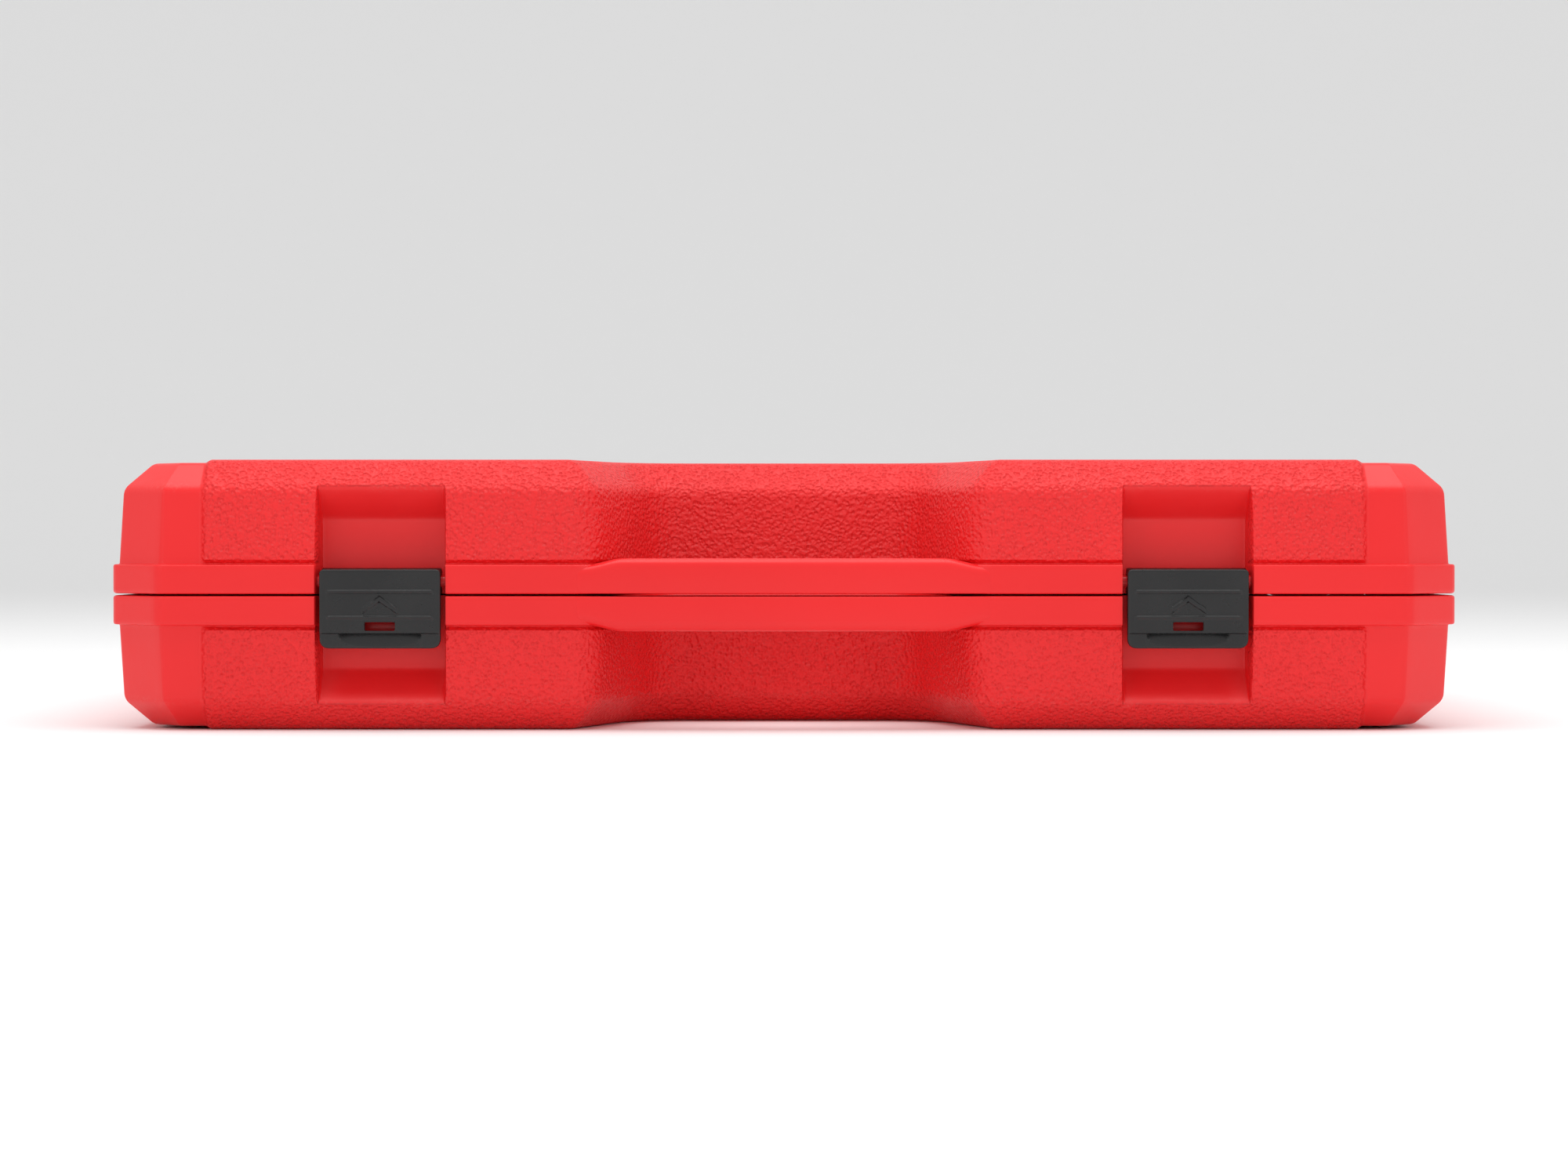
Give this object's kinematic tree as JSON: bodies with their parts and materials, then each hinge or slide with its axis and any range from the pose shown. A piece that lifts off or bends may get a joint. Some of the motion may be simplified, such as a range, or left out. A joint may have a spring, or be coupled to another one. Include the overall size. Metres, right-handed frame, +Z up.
{
  "type": "socket wrench set in case",
  "caption": "Flat moulded carrying case with two latches and a built-in handle, holding a ratchet, sockets, extension bars and a universal joint in a moulded tray.",
  "frame": {"origin": "middle of the case's footprint, on the surface it lies on", "axes": "+X along the case's width, +Y from the latches and handle to the hinges, +Z up through the lid"},
  "size_m": [0.424, 0.33, 0.0848],
  "materials": {
    "case_red": "moulded, grained on the raised panels and smooth elsewhere",
    "latch_black": "semi-matt moulded",
    "grip_black": "matt",
    "chrome": "polished chrome plate",
    "plain_steel": "ground"
  },
  "bodies": {
    "base": {"base_shell": "case_red", "hinge_pin_left": "plain_steel", "hinge_pin_centre": "plain_steel", "hinge_pin_right": "plain_steel", "socket_10": "chrome", "socket_12": "chrome", "socket_13": "chrome", "socket_14": "chrome", "socket_15": "chrome", "socket_17": "chrome", "socket_19": "chrome", "socket_22": "chrome", "socket_24": "chrome", "socket_27": "chrome", "socket_30": "chrome", "socket_32": "chrome", "deep_socket_13": "chrome", "deep_socket_15": "chrome", "deep_socket_17": "chrome", "deep_socket_19": "chrome", "spark_plug_socket_16": "chrome", "spark_plug_socket_21": "chrome", "extension_long": "chrome", "extension_medium": "chrome", "extension_short": "chrome", "universal_socket_yoke": "chrome", "universal_drive_yoke": "chrome", "universal_cross": "chrome", "ratchet_body": "chrome", "ratchet_cover": "chrome", "cover_screw_1": "plain_steel", "cover_screw_2": "plain_steel", "cover_screw_3": "plain_steel", "ratchet_grip": "grip_black"},
    "lid": {"lid_shell": "case_red"},
    "left_latch": {"latch_left": "latch_black"},
    "right_latch": {"latch_right": "latch_black"},
    "drive": {"drive_gear": "chrome"},
    "reverser": {"reversing_lever": "chrome", "pawl": "plain_steel"},
    "release": {"release_button": "plain_steel"}
  },
  "joints": [
    {"name": "lid_hinge", "type": "hinge", "parent": "base", "child": "lid", "pos_m": [0, 0.1611, 0.0424], "axis": [-1, 0, 0], "range_deg": [0, 180]},
    {"name": "left_latch_hinge", "type": "hinge", "parent": "lid", "child": "left_latch", "pos_m": [-0.1256, -0.1584, 0.0466], "axis": [-1, 0, 0], "range_deg": [0, 105]},
    {"name": "right_latch_hinge", "type": "hinge", "parent": "lid", "child": "right_latch", "pos_m": [0.1256, -0.1584, 0.0466], "axis": [-1, 0, 0], "range_deg": [0, 105]},
    {"name": "drive_spin", "type": "hinge", "parent": "base", "child": "drive", "pos_m": [-0.11, 0.082, 0.0224], "axis": [0, 0, 1], "continuous": true},
    {"name": "reversing_lever_turn", "type": "hinge", "parent": "base", "child": "reverser", "pos_m": [-0.0915, 0.082, 0.0484], "axis": [0, 0, 1], "range_deg": [-14, 14]},
    {"name": "release_button_press", "type": "slide", "parent": "base", "child": "release", "axis": [0, 0, -1], "range_m": [0, 0.002], "stiffness_N_per_m": 400, "springref_m": -0.001}
  ]
}
